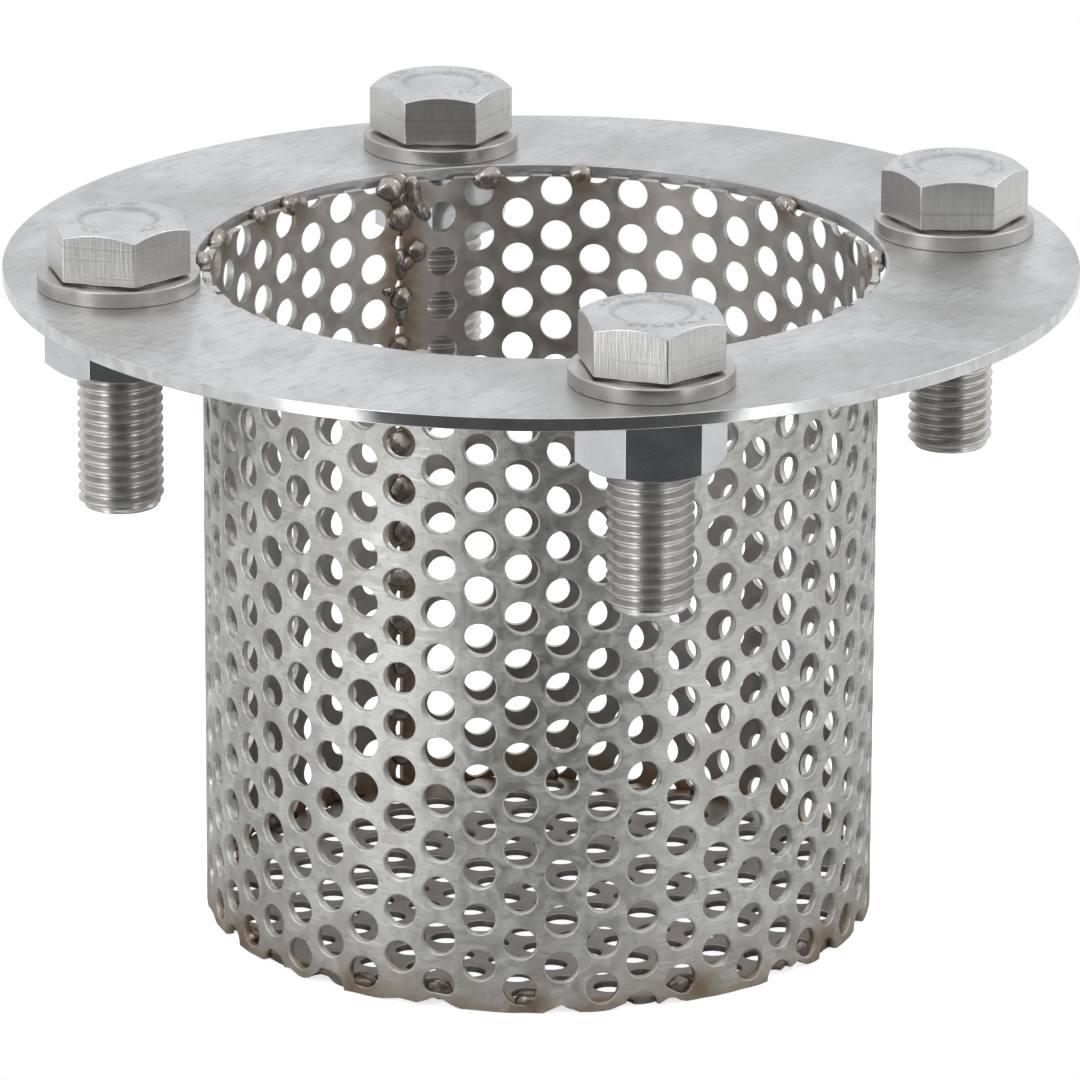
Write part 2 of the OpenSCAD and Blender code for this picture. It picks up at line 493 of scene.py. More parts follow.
def hex_outline(turn_deg, corner_round):
    """The outline of a hexagon with rounded corners, one corner at turn_deg."""
    corner_r = HEX_AF / 2 / math.cos(math.pi / 6)
    arc_centre = corner_r - corner_round / math.cos(math.pi / 6)
    points = []
    for k in range(6):
        a = math.radians(turn_deg + 60 * k)
        centre = arc_centre * np.array([math.cos(a), math.sin(a)])
        for s in np.linspace(-30, 30, CORNER_POINTS):
            b = a + math.radians(s)
            points.append(centre + corner_round * np.array([math.cos(b), math.sin(b)]))
        next_a = math.radians(turn_deg + 60 * (k + 1))
        b = next_a - math.pi / 6
        end = arc_centre * np.array([math.cos(next_a), math.sin(next_a)])
        end = end + corner_round * np.array([math.cos(b), math.sin(b)])
        start = points[-1]
        for s in np.linspace(0, 1, SIDE_POINTS + 2)[1:-1]:
            points.append(start + (end - start) * s)
    return np.array(points)


def loft(rings):
    """The strip of faces that joins rings of the same number of points, open at both ends."""
    count = len(rings[0])
    verts = np.vstack(rings)
    faces = []
    for r in range(len(rings) - 1):
        for k in range(count):
            l = (k + 1) % count
            faces.append((r * count + k, r * count + l, (r + 1) * count + l, (r + 1) * count + k))
    return verts, faces, count


def capped(rings):
    """A lofted solid whose first and last rings are closed at their centres."""
    verts, faces, count = loft(rings)
    n = len(verts)
    verts = np.vstack([verts, rings[0].mean(axis=0), rings[-1].mean(axis=0)])
    last = count * (len(rings) - 1)
    for k in range(count):
        l = (k + 1) % count
        faces.append((l, k, n))
        faces.append((last + k, last + l, n + 1))
    return verts, faces


def looped(rings):
    """A lofted tube whose last ring joins its first."""
    verts, faces, count = loft(rings)
    last = count * (len(rings) - 1)
    for k in range(count):
        l = (k + 1) % count
        faces.append((last + k, last + l, l, k))
    return verts, faces


CHAMFER_SLOPE = math.tan(math.radians(28))


def hex_side(outline, low, high, circle_r, low_cut, edge):
    """The rings of a hexagon's sides, from its lower to its upper end.

    The corners are turned off to a circle at the upper end, and where low_cut says so at the lower.
    edge is the size of the small bevel along both ends.
    """
    radius = np.linalg.norm(outline, axis=1)
    unit = outline / radius[:, None]
    fall = np.maximum(radius - circle_r, 0) * CHAMFER_SLOPE
    inner_fall = np.maximum(radius - edge - circle_r, 0) * CHAMFER_SLOPE
    floor_z = low + fall * low_cut
    top_z = high - fall
    sides = [
        (radius - edge, low + inner_fall * low_cut),
        (radius - edge * 0.3, floor_z + edge * 0.3),
        (radius, floor_z + edge),
        (radius, (floor_z + top_z) / 2),
        (radius, top_z - edge),
        (radius - edge * 0.3, top_z - edge * 0.3),
        (radius - edge, high - inner_fall),
    ]
    return [np.column_stack([unit * r[:, None], z]) for r, z in sides], unit


def circles(unit, sizes):
    """Round rings of points in the outline's own directions, for each (radius, height)."""
    return [np.column_stack([unit * r, np.full(len(unit), z)]) for r, z in sizes]


def make_head(turn_deg, under, top):
    """A forged bolt head: turned corners, a dished top and a round washer face below."""
    boss = 0.45 * MM
    boss_r, circle_r = 11.25 * MM, 11.4 * MM
    outline = hex_outline(turn_deg, 0.45 * MM)
    sides, unit = hex_side(outline, under + boss, top, circle_r, False, 0.16 * MM)
    # (radius, height) of the washer face below
    foot = [(4 * MM, under), (11.1 * MM, under), (boss_r, under + 0.12 * MM), (boss_r, under + boss * 0.98)]
    # radius, and height above the top's highest circle in millimetres
    dish = [
        (circle_r + 0.3 * MM, -0.17), (circle_r, -0.06), (circle_r - 0.4 * MM, 0.0), (8.4 * MM, 0.0),
        (8.0 * MM, -0.04), (7.5 * MM, -0.20), (7.0 * MM, -0.42), (6.5 * MM, -0.52), (4 * MM, -0.50),
        (1.5 * MM, -0.42),
    ]
    return capped(circles(unit, foot) + sides + circles(unit, [(r, top + z * MM) for r, z in dish]))


def thread_profile():
    """One pitch of the thread: (share of the pitch, depth below the crest)."""
    depth = 0.61 * THREAD_PITCH
    return [
        (0.0, 0.0), (0.13, 0.0), (0.17, 0.06 * depth), (0.42, 0.93 * depth), (0.47, depth),
        (0.63, depth), (0.68, 0.93 * depth), (0.94, 0.06 * depth),
    ]


def make_thread(tip, end, phase_deg):
    """A right-hand threaded shank from its tip up to end, with a turned tip."""
    profile = thread_profile()
    per_pitch = len(profile)
    columns = 72
    turns = int((end - tip) / THREAD_PITCH) + 3
    crest = THREAD_R - 0.06 * MM
    # the turned tip narrows by 0.85 mm for each millimetre, to this much below the crest
    tip_depth, tip_slope = 1.25 * MM, 0.85
    start = tip - 1.5 * THREAD_PITCH
    verts, faces = [], []
    rows = turns * per_pitch
    for row in range(rows):
        share, depth = profile[row % per_pitch]
        for k in range(columns):
            z = start + THREAD_PITCH * (row // per_pitch + share + k / columns)
            a = 2 * math.pi * k / columns + math.radians(phase_deg)
            cone = crest - tip_depth + max(z - tip, 0.0) * tip_slope
            r = min(crest - depth, cone)
            verts.append((r * math.cos(a), r * math.sin(a), z))
    for row in range(rows - per_pitch - 1):
        for k in range(columns):
            # a right-hand thread climbs anticlockwise seen from above, so after one turn the last
            # column meets the first one a pitch higher
            a = row * columns + k
            b = a + 1 if k < columns - 1 else (row + per_pitch) * columns
            faces.append((a, b, b + columns, a + columns))
    bm = loose_mesh(verts, faces)
    loose = [v for v in bm.verts if not v.link_faces]
    bmesh.ops.delete(bm, geom=loose, context="VERTS")
    bmesh.ops.remove_doubles(bm, verts=bm.verts, dist=NEAR_CUT)
    cut(bm, (0, 0, tip), (0, 0, -1))
    cut(bm, (0, 0, end), (0, 0, 1))
    rim = [e for e in bm.edges if len(e.link_faces) == 1]
    bmesh.ops.holes_fill(bm, edges=rim, sides=0)
    bmesh.ops.recalc_face_normals(bm, faces=bm.faces)
    return taken_from(bm)


def taken_from(bm):
    """The vertices and faces of a loose mesh, which is then freed."""
    bm.verts.index_update()
    verts = np.array([v.co[:] for v in bm.verts])
    faces = [tuple(v.index for v in f.verts) for f in bm.faces]
    bm.free()
    return verts, faces


def make_bolt(side, materials):
    """A head and a threaded shank: material 0 is the head's and 1 is the thread's."""
    low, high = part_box(f"{side}_bolt")
    at = around(SIDES[side]) * BOLT_CIRCLE_R
    under = washer_high.z
    head = make_head(HEAD_TURN[side], under, high.z)
    # each thread starts at an angle of its own, and runs a little way into the head
    thread = make_thread(low.z, under + 0.2 * MM, HEAD_TURN[side] * 3)
    verts, faces = join_parts([head, thread])
    kinds = [0] * len(head[1]) + [1] * len(thread[1])
    return make_object(f"{side}_hexagon_bolt", verts + at, faces, materials, kinds, 33, True)


def make_nut(side, materials):
    """A nut with both ends turned to a round face, and a plain bore with bevelled mouths."""
    low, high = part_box(f"{side}_nut")
    at = around(SIDES[side]) * BOLT_CIRCLE_R
    bore, bevel = THREAD_R + 0.05 * MM, 0.6 * MM
    face_r, circle_r, lip = 11.0 * MM, 11.35 * MM, 0.04 * MM
    outline = hex_outline(NUT_TURN[side], 0.3 * MM)
    sides, unit = hex_side(outline, low.z, high.z, circle_r, True, 0.1 * MM)
    lower = [(bore, low.z + bevel), (bore + bevel, low.z), (face_r, low.z), (circle_r, low.z + lip)]
    upper = [(circle_r, high.z - lip), (face_r, high.z), (bore + bevel, high.z), (bore, high.z - bevel)]
    verts, faces = looped(circles(unit, lower) + sides + circles(unit, upper))
    return make_object(f"{side}_hexagon_nut", verts + at, faces, materials, None, 33, True)


def make_washer(side, material):
    """A stamped washer, sharp below and rounded at its upper edge."""
    low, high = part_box(f"{side}_washer")
    at = around(SIDES[side]) * BOLT_CIRCLE_R
    outer, inner = (high.x - low.x) / 2, 8.5 * MM
    burr, lower, upper = 0.1 * MM, 0.15 * MM, 0.38 * MM
    profile = [
        (inner, low.z + burr), (inner + burr, low.z), (outer - lower, low.z), (outer, low.z + lower),
        (outer, high.z - upper), (outer - 0.1 * upper, high.z - 0.55 * upper),
        (outer - 0.4 * upper, high.z - 0.18 * upper), (outer - upper, high.z),
        (inner + burr, high.z), (inner, high.z - burr),
    ]
    return make_object(f"{side}_flat_washer", *lathe(profile, at, 96), [material], None, 50, True)


# -------- weld metal
def unit_ball(divisions):
    """The vertices and faces of a ball of radius 1."""
    bm = bmesh.new()
    bmesh.ops.create_icosphere(bm, subdivisions=divisions, radius=1)
    return taken_from(bm)


BALL = unit_ball(4)
SMALL_BALL = unit_ball(3)
# Where the noise starts for each sort of drop, so that no two drops have the same shape
BEAD_SEED, RUN_SEED, TACK_SEED, SIDE_TACK_SEED, FOOT_TACK_SEED, PLUG_SEED = 40, 90, 120, 150, 200, 260


def drop(angle_deg, r, z, size, seed, lumps, lean=0.0, ball=SMALL_BALL):
    """A frozen lump of weld metal, uneven in outline.

    size is its half extents outward, sideways and upward, in millimetres. lumps is how uneven it
    is, and lean turns it in the plane of the sheet, in degrees.
    """
    verts, faces = ball
    out = around(angle_deg)
    up = np.array([0.0, 0.0, 1.0])
    shift = Vector((seed * 3.7, seed * 1.3, seed * 5.1))
    grow = []
    for v in verts:
        p = Vector(v)
        grow.append(1.06 + lumps * (noise.noise(p * 0.9 + shift) + 0.3 * noise.noise(p * 2.1 + shift)))
    p = verts * np.array(grow)[:, None] * (np.array(size) * MM)
    c, s = math.cos(math.radians(lean)), math.sin(math.radians(lean))
    across, along = p[:, 1] * c - p[:, 2] * s, p[:, 1] * s + p[:, 2] * c
    centre = out * r + up * z
    return centre + p[:, :1] * out + across[:, None] * np.cross(up, out) + along[:, None] * up, faces


# Each drop on the seam: height, sideways shift, half extents outward, sideways and upward, and lean.
# Positive shifts are anticlockwise seen from above; all lengths are in millimetres.
SEAM_DROPS = [
    (117.8, 0.2, 1.8, 2.4, 2.5, 10), (110.8, -3.0, 1.8, 2.3, 2.3, 0), (101.7, 0.0, 1.9, 2.1, 2.2, 0),
    (92.2, 0.2, 1.9, 2.3, 2.0, 20), (81.6, -0.4, 1.7, 2.1, 2.6, 0), (72.5, 0.5, 1.8, 2.4, 2.2, 30),
    (63.1, 0.0, 1.6, 2.0, 2.5, -10), (54.4, -0.6, 1.8, 2.2, 2.4, 15), (45.1, 0.3, 1.7, 2.3, 2.2, 0),
    (35.9, 0.2, 1.9, 2.1, 2.6, -20), (27.2, -0.5, 1.7, 2.2, 2.4, 12), (17.8, 0.4, 1.8, 2.3, 2.3, 0),
    (8.7, 0.0, 1.8, 2.2, 2.7, -8),
]
# Smaller side drops and runs, in the same terms
SEAM_RUNS = [
    (123.6, 2.3, 1.9, 2.8, 2.2, 15), (121.6, 0.7, 1.3, 1.5, 1.7, -20), (108.6, -1.2, 1.2, 1.2, 2.0, 35),
    (103.4, 3.1, 0.9, 0.9, 1.0, 0), (123.2, -2.3, 0.7, 1.5, 2.6, -6), (121.4, -2.7, 0.75, 1.4, 2.8, -16),
    (119.7, -3.5, 0.7, 1.3, 2.6, -28), (118.3, -4.5, 0.6, 1.2, 2.2, -42), (86.3, -2.4, 0.8, 0.9, 1.4, 20),
    (67.5, 2.2, 0.8, 1.0, 1.2, 0), (49.4, -2.1, 0.8, 0.9, 1.2, 15), (31.2, 2.0, 0.9, 1.1, 1.1, 0),
]


def make_seam_weld(materials):
    """Short beads between the slits of the seam, each with a drop on its inner side, and runs."""
    parts = []
    bead_size = (1.05, 1.7, (ROW_PITCH / 2 - SLIT_HALF) / MM + 0.3)
    for k, (z, shift, *size, lean) in enumerate(SEAM_DROPS):
        middle = RING_TOP - ROW_PITCH * (k + 1)
        parts.append(drop(SEAM_AT, MEAN_R - 0.1 * MM, middle, bead_size, BEAD_SEED + k, 0.12))
        angle = SEAM_AT + math.degrees(shift * MM / INNER_R)
        parts.append(drop(angle, INNER_R - 0.1 * MM, z * MM, size, k, 0.2, lean, BALL))
    for k, (z, shift, *size, lean) in enumerate(SEAM_RUNS):
        angle = SEAM_AT + math.degrees(shift * MM / INNER_R)
        parts.append(drop(angle, INNER_R, z * MM, size, RUN_SEED + k, 0.25, lean))
    return make_object("seam_weld_beads", *join_parts(parts), materials, None, 80)


def make_flange_tacks(materials):
    """Tack welds in the gap between the wall's upper edge and the ring, each with a smaller drop below."""
    rng = np.random.default_rng(7)
    parts = []
    middle = (SHELL_R + RING_HOLE_R) / 2
    for k, angle in enumerate(FLANGE_TACKS):
        wide, tall = rng.uniform(1.9, 3.1), rng.uniform(1.5, 2.2)
        z = RING_TOP - (tall * 0.86 + 0.25) * MM
        parts.append(drop(angle, middle - 0.6 * MM, z, (1.55, wide, tall), TACK_SEED + k, 0.22))
        angle += math.degrees(rng.uniform(-3.2, 3.2) * MM / middle)
        z = RING_TOP - 2.6 * MM
        parts.append(drop(angle, middle - 0.9 * MM, z, (1.0, 1.2, 1.5), SIDE_TACK_SEED + k, 0.25))
    return make_object("ring_tack_beads", *join_parts(parts), materials, None, 80)


# Holes of the lowest row with weld metal in them, by how many columns they stand from the front one
PLUGGED_HOLES = [-2, 4, 8, -12, -20, 16]


def make_floor_tacks(materials):
    """Tack welds inside the lower rim, and metal that has run into its notches and holes."""
    rng = np.random.default_rng(11)
    parts = []
    for k, angle in enumerate(FLOOR_TACKS):
        size = (1.7, rng.uniform(1.9, 2.6), rng.uniform(1.4, 1.9))
        parts.append(drop(angle, INNER_R - 0.5 * MM, SHEET + 0.5 * MM, size, FOOT_TACK_SEED + k, 0.2))
    for k, step in enumerate(PLUGGED_HOLES):
        angle = column_angle(FRONT_COLUMN + step) + rng.uniform(-0.6, 0.6)
        place = (angle, INNER_R - 0.1 * MM, 3.0 * MM)
        parts.append(drop(*place, (0.9, 2.3, 1.9), PLUG_SEED + k, 0.2, 0.0, BALL))
    verts, faces = join_parts(parts)
    # no drop reaches below the lower rim, on which the basket stands
    verts[:, 2] = np.maximum(verts[:, 2], 0.05 * MM)
    return make_object("floor_tack_beads", verts, faces, materials, None, 80)


# -------- materials
class Nodes:
    """Short ways to write a tree of shader nodes."""

    def __init__(self, tree):
        self.tree = tree

    def add(self, kind, inputs=None, **settings):
        """A new node with these settings, and with its inputs linked or set by name or number."""
        node = self.tree.nodes.new("ShaderNode" + kind)
        for key, value in settings.items():
            setattr(node, key, value)
        for key, value in (inputs or {}).items():
            self.put(node.inputs[key], value)
        return node

    def put(self, socket, value):
        if isinstance(value, bpy.types.NodeSocket):
            self.tree.links.new(value, socket)
        else:
            socket.default_value = value

    def calc(self, operation, *values):
        return self.add("Math", dict(enumerate(values)), operation=operation).outputs[0]

    def times(self, a, b):
        return self.calc("MULTIPLY", a, b)

    def sum(self, a, b, scale=1.0):
        """a + b * scale"""
        return self.calc("MULTIPLY_ADD", b, scale, a)

    def spread(self, value, low, high, to_low=0.0, to_high=1.0, **settings):
        """The value, stretched so that low and high become to_low and to_high, which it never passes."""
        inputs = {"Value": value, "From Min": low, "From Max": high, "To Min": to_low, "To Max": to_high}
        return self.add("MapRange", inputs, **settings).outputs[0]


class Metal(Nodes):
    """A steel surface, written as a chain of nodes on one Principled shader."""

    def __init__(self, name):
        self.material = bpy.data.materials.new(name)
        self.material.use_nodes = True
        super().__init__(self.material.node_tree)
        self.place = self.add("TexCoord").outputs["Object"]

    def noise(self, scale, stretch=(1, 1, 1), turn=0.0, detail=3.0, warp=0.0):
        """Noise with features of about 1/scale metres; stretch below 1 draws it out along that axis."""
        moved = self.add("Mapping", {"Vector": self.place, "Rotation": (0, 0, math.radians(turn))})
        drawn = self.add("Mapping", {"Vector": moved.outputs[0], "Scale": stretch})
        inputs = {"Vector": drawn.outputs[0], "Scale": scale, "Detail": detail, "Distortion": warp}
        return self.add("TexNoise", inputs).outputs[0]

    def mix(self, share, a, b):
        """Colour a where share is 0, and colour b where it is 1."""
        a, b = [(*c, 1.0) if isinstance(c, tuple) else c for c in (a, b)]
        return self.add("MixRGB", {"Fac": share, "Color1": a, "Color2": b}).outputs[0]

    def coats(self, colour, coats):
        """The colour under thin coats: where each one is, how strong, and its colour."""
        for where, strength, coat in coats:
            colour = self.mix(self.times(where, strength), colour, coat)
        return colour

    def height(self):
        return self.add("SeparateXYZ", {"Vector": self.place}).outputs["Z"]

    def from_bolt(self):
        """How far a point is from the axis of the nearest bolt, which all stand on the X and Y axes."""
        place = self.add("SeparateXYZ", {"Vector": self.place})
        reach = [self.calc("ABSOLUTE", place.outputs[k]) for k in "XY"]
        along = self.sum(self.calc("MAXIMUM", *reach), -BOLT_CIRCLE_R)
        aside = self.calc("MINIMUM", *reach)
        return self.calc("SQRT", self.sum(self.times(along, along), self.times(aside, aside)))

    def pits(self, scale):
        """Small scattered spots: 1 on a spot and 0 off it."""
        return self.spread(self.noise(scale, detail=1.0), 0.66, 0.74)

    def scratches(self, turn, density=0.65):
        """Thin lines all lying one way: 1 on a scratch and 0 off it."""
        lines = self.noise(1000, (1, 0.012, 1), turn, 1.0)
        broken = self.noise(60, (1, 1, 1), turn + 40, 1.0)
        on = self.spread(lines, density, density + 0.03)
        return self.times(on, self.spread(broken, 0.48, 0.58))

    def heat(self, base, reach=1.0):
        """The base colour, tinted straw, brown and slate where welding has heated the steel."""
        near = self.add("Attribute", attribute_name="weld_warmth").outputs["Fac"]
        uneven = self.spread(self.noise(330, detail=4.0, warp=0.6), 0.25, 0.75, -0.32, 0.32)
        level = self.times(near, self.sum(1.0, uneven, 1.4))
        level = self.times(level, reach)
        return self.coats(base, [
            (self.spread(level, 0.06, 0.45), 0.85, (0.35, 0.275, 0.20)),
            (self.spread(level, 0.45, 1.0), 0.75, (0.19, 0.12, 0.08)),
            (self.spread(level, 1.0, 1.6), 0.8, (0.12, 0.105, 0.10)),
        ])

    def bump(self, height, depth, before=None):
        """Shading normals for a relief of this height, on top of those before it."""
        inputs = {"Height": height, "Distance": depth, "Strength": 1.0}
        if before is not None:
            inputs["Normal"] = before
        return self.add("Bump", inputs).outputs[0]

    def done(self, colour, roughness, normal):
        inputs = self.tree.nodes["Principled BSDF"].inputs
        inputs["Metallic"].default_value = 1.0
        for key, value in (("Base Color", colour), ("Roughness", roughness), ("Normal", normal)):
            self.put(inputs[key], value)
        return self.material


def ring_metal():
    """Satin plate: faint grain one way, crossing scratches, rubbed patches and cloudy stains."""
    m = Metal("plate_satin")
    grain = m.noise(2600, (1, 0.04, 1), 62, 2.0)
    cloud = m.noise(21, detail=4.0, warp=0.8)
    smudge = m.noise(120, (1, 0.30, 1), 20, 5.0, 0.5)
    marks = m.sum(m.scratches(35), m.scratches(-28, 0.66))
    hatch = m.spread(m.noise(1300, (1, 0.02, 1), -52, 1.0), 0.55, 0.68)
    hatch = m.times(hatch, m.spread(m.noise(34, detail=2.0), 0.55, 0.66))
    rubbed = m.spread(m.noise(900, (1, 0.22, 1), 62, 5.0, 0.4), 0.50, 0.66)
    dented = m.spread(m.noise(700, (1, 0.5, 1), -40, 3.0, 0.6), 0.60, 0.70)
    pits = m.pits(2300)
    colour = m.mix(m.spread(cloud, 0.38, 0.60), (0.50, 0.497, 0.493), (0.66, 0.66, 0.67))
    colour = m.coats(colour, [
        (m.spread(smudge, 0.50, 0.66), 0.40, (0.44, 0.435, 0.43)), (marks, 0.35, (0.78, 0.78, 0.78)),
        (hatch, 0.35, (0.36, 0.355, 0.35)), (rubbed, 0.42, (0.38, 0.375, 0.37)),
        (dented, 0.35, (0.33, 0.325, 0.32)), (pits, 0.4, (0.25, 0.24, 0.23)),
    ])
    colour = m.heat(colour, 0.9)
    rough = m.sum(m.spread(smudge, 0.3, 0.75, 0.27, 0.37), grain, 0.06)
    lines = m.sum(m.sum(grain, marks, 0.7), m.sum(hatch, dented, -0.8), 0.9)
    normal = m.bump(m.sum(lines, pits, -0.8), 2.2e-5)
    normal = m.bump(m.noise(60, detail=3.0), 3.0e-4, normal)
    return m.done(colour, rough, normal)


def edge_metal():
    """The plate's cut edge: nearly polished, with fine lines along it and a few nicks."""
    m = Metal("plate_edge")
    lines = m.noise(2600, (0.03, 0.03, 1), 0, 2.0)
    blotch = m.noise(240, detail=4.0)
    colour = m.mix(m.spread(blotch, 0.40, 0.66), (0.74, 0.74, 0.73), (0.56, 0.555, 0.54))
    colour = m.heat(colour, 0.9)
    rough = m.spread(blotch, 0.3, 0.7, 0.10, 0.20)
    normal = m.bump(m.sum(lines, blotch, 2.0), 7e-6)
    return m.done(colour, rough, normal)


def wall_metal():
    """Mill-finish sheet outside: mottled grey, with drawing marks from the rolls, scuffs and pits."""
    m = Metal("sheet_outside")
    mottle = m.noise(230, detail=6.0, warp=1.2)
    cloud = m.noise(36, detail=4.0, warp=0.6)
    rolls = m.noise(1900, (1, 1, 0.08), 0, 2.0)
    scuffs = m.spread(m.noise(1100, (0.12, 0.12, 1), 0, 3.0, 0.4), 0.52, 0.66)
    scuffs = m.times(scuffs, m.spread(m.noise(85, detail=2.0), 0.46, 0.60))
    pits = m.pits(2600)
    stain = m.spread(m.noise(80, (1, 1, 0.6), detail=5.0, warp=1.4), 0.48, 0.64)
    dashes = m.spread(m.noise(1300, (0.35, 0.35, 1), 0, 3.0, 0.8), 0.54, 0.68)
    soiled = m.times(m.spread(m.height(), 1 * MM, 16 * MM, 1.0, 0.0), m.spread(cloud, 0.35, 0.60))
    colour = m.mix(m.spread(mottle, 0.36, 0.62), (0.43, 0.422, 0.395), (0.69, 0.685, 0.655))
    colour = m.coats(colour, [
        (m.spread(cloud, 0.40, 0.62), 0.55, (0.72, 0.715, 0.69)), (stain, 0.5, (0.42, 0.40, 0.365)),
        (dashes, 0.32, (0.30, 0.29, 0.27)), (soiled, 0.75, (0.40, 0.36, 0.29)),
        (scuffs, 0.45, (0.78, 0.78, 0.77)), (pits, 0.35, (0.26, 0.25, 0.24)),
    ])
    colour = m.heat(colour, 0.9)
    rough = m.sum(m.spread(mottle, 0.32, 0.68, 0.40, 0.58), scuffs, -0.08)
    fine = m.sum(m.sum(rolls, mottle, 2.2), m.sum(scuffs, m.sum(pits, dashes, 0.6), -1.0), 0.8)
    normal = m.bump(fine, 2.6e-5)
    normal = m.bump(m.noise(110, detail=3.0), 2.2e-4, normal)
    return m.done(colour, rough, normal)


def inner_metal():
    """Mill-finish sheet inside: duller and warmer, with painted shade that darkens it towards the bottom."""
    m = Metal("sheet_inside")
    mottle = m.noise(170, detail=5.0, warp=0.8)
    grain = m.noise(1800, (1, 1, 0.08), 0, 2.0)
    pits = m.pits(2400)
    colour = m.mix(m.spread(mottle, 0.34, 0.66), (0.42, 0.39, 0.36), (0.62, 0.59, 0.555))
    # painted shade: the inside of the wall and the floor disc's upper face are darkened towards the bottom,
    # deep in the basket
    lower = m.spread(m.height(), 8 * MM, 85 * MM, 1.0, 0.0)
    colour = m.coats(colour, [(pits, 0.3, (0.22, 0.20, 0.18)), (lower, 0.52, (0.17, 0.16, 0.145))])
    colour = m.heat(colour, 0.95)
    rough = m.spread(mottle, 0.3, 0.7, 0.34, 0.48)
    normal = m.bump(m.sum(m.sum(grain, mottle, 1.5), pits, -0.8), 1.2e-5)
    return m.done(colour, rough, normal)


def cut_metal():
    """The punched edges of the floor: dull, and painted dark as shade inside the holes."""
    m = Metal("sheet_cut_painted_shade")
    patch = m.noise(420, detail=4.0)
    lines = m.noise(1800, (1, 1, 0.1), 0, 2.0)
    # the dark colour is painted shade on the hole walls and the disc's cut edge, deep inside the basket
    colour = m.mix(m.spread(patch, 0.35, 0.65), (0.16, 0.148, 0.132), (0.27, 0.255, 0.235))
    rough = m.spread(patch, 0.3, 0.7, 0.42, 0.58)
    return m.done(colour, rough, m.bump(m.sum(lines, patch, 1.0), 1.5e-5))


def weld_metal():
    """Frozen weld drops: glossy, rippled, browned in patches."""
    m = Metal("weld_drops")
    patch = m.noise(360, detail=4.0, warp=0.7)
    fine = m.noise(1500, detail=3.0)
    colour = m.mix(m.spread(patch, 0.42, 0.62), (0.44, 0.415, 0.39), (0.27, 0.225, 0.19))
    colour = m.coats(colour, [(m.spread(fine, 0.60, 0.72), 0.5, (0.62, 0.605, 0.58))])
    burnt = m.mix(m.spread(patch, 0.42, 0.62), (0.20, 0.175, 0.155), (0.12, 0.095, 0.08))
    colour = m.mix(m.spread(m.height(), 5 * MM, 9 * MM), burnt, colour)
    rough = m.spread(patch, 0.35, 0.7, 0.18, 0.36)
    normal = m.bump(m.sum(fine, patch, 1.5), 3e-5)
    return m.done(colour, rough, normal)


def head_metal():
    """Forged bolt head: flats with fine drawn lines both ways, and a pressed, softer top with painted shade
    on the sloping wall of its dish.
    """
    m = Metal("head_forged")
    facing = m.add("NewGeometry").outputs["Normal"]
    up = m.add("SeparateXYZ", {"Vector": facing}).outputs["Z"]
    top = m.spread(up, 0.5, 0.8)
    lines = m.noise(3600, (1, 1, 0.05), 0, 2.0)
    weave = m.noise(3600, (0.12, 0.12, 1), 0, 2.0)
    cross = m.spread(m.noise(1250, (0.02, 0.02, 1), 0, 1.0), 0.60, 0.68)
    pressed = m.noise(420, detail=5.0, warp=0.6)
    cloud = m.noise(110, detail=3.0)
    flat = m.mix(m.spread(lines, 0.35, 0.65), (0.57, 0.555, 0.53), (0.69, 0.68, 0.66))
    flat = m.coats(flat, [
        (m.spread(weave, 0.5, 0.7), 0.4, (0.74, 0.73, 0.71)), (cross, 0.35, (0.36, 0.35, 0.33)),
        (m.spread(cloud, 0.4, 0.7), 0.35, (0.50, 0.49, 0.47)),
    ])
    specks = m.spread(m.noise(1500, detail=4.0, warp=0.5), 0.57, 0.68)
    radius = m.from_bolt()
    # painted shade: a darker, uneven ring on the sloping wall of the dished top
    corner = m.times(m.spread(radius, 6.0 * MM, 7.0 * MM), m.spread(radius, 7.2 * MM, 8.4 * MM, 1.0, 0.0))
    corner = m.times(corner, m.spread(pressed, 0.30, 0.62, 0.25, 0.75))
    dents = m.times(m.spread(radius, 8.3 * MM, 8.8 * MM), m.spread(radius, 10.4 * MM, 10.9 * MM, 1.0, 0.0))
    dents = m.times(dents, m.spread(m.noise(95, detail=1.0), 0.46, 0.54))
    dents = m.times(dents, m.spread(m.noise(850, detail=2.0), 0.46, 0.54))
    face = m.mix(m.spread(cloud, 0.35, 0.65), (0.56, 0.56, 0.57), (0.67, 0.67, 0.68))
    face = m.coats(face, [
        (m.spread(pressed, 0.55, 0.75), 0.3, (0.74, 0.74, 0.75)), (specks, 0.35, (0.33, 0.32, 0.31)),
        (corner, 1.0, (0.34, 0.335, 0.33)), (dents, 0.62, (0.28, 0.275, 0.27)),
    ])
    colour = m.mix(top, flat, face)
    rough = m.spread(top, 0.0, 1.0, 0.31, 0.34)
    upright = m.sum(m.sum(lines, weave, 0.8), cross, -0.8)
    upright = m.times(upright, m.spread(up, 0.3, 0.6, 1.0, 0.0))
    normal = m.bump(upright, 1.9e-5)
    pitted = m.sum(m.sum(pressed, specks, -0.25), dents, -0.5)
    normal = m.bump(m.times(pitted, top), 2.4e-4, normal)
    return m.done(colour, rough, normal)


def thread_metal():
    """Rolled thread: smooth and bright, faintly lined along the turns."""
    m = Metal("thread_rolled")
    lines = m.noise(2500, (0.05, 0.05, 1), 0, 2.0)
    patch = m.noise(300, detail=3.0)
    colour = m.mix(m.spread(patch, 0.35, 0.7), (0.54, 0.525, 0.50), (0.68, 0.67, 0.65))
    rough = m.spread(lines, 0.3, 0.7, 0.27, 0.38)
    return m.done(colour, rough, m.bump(lines, 8e-6))


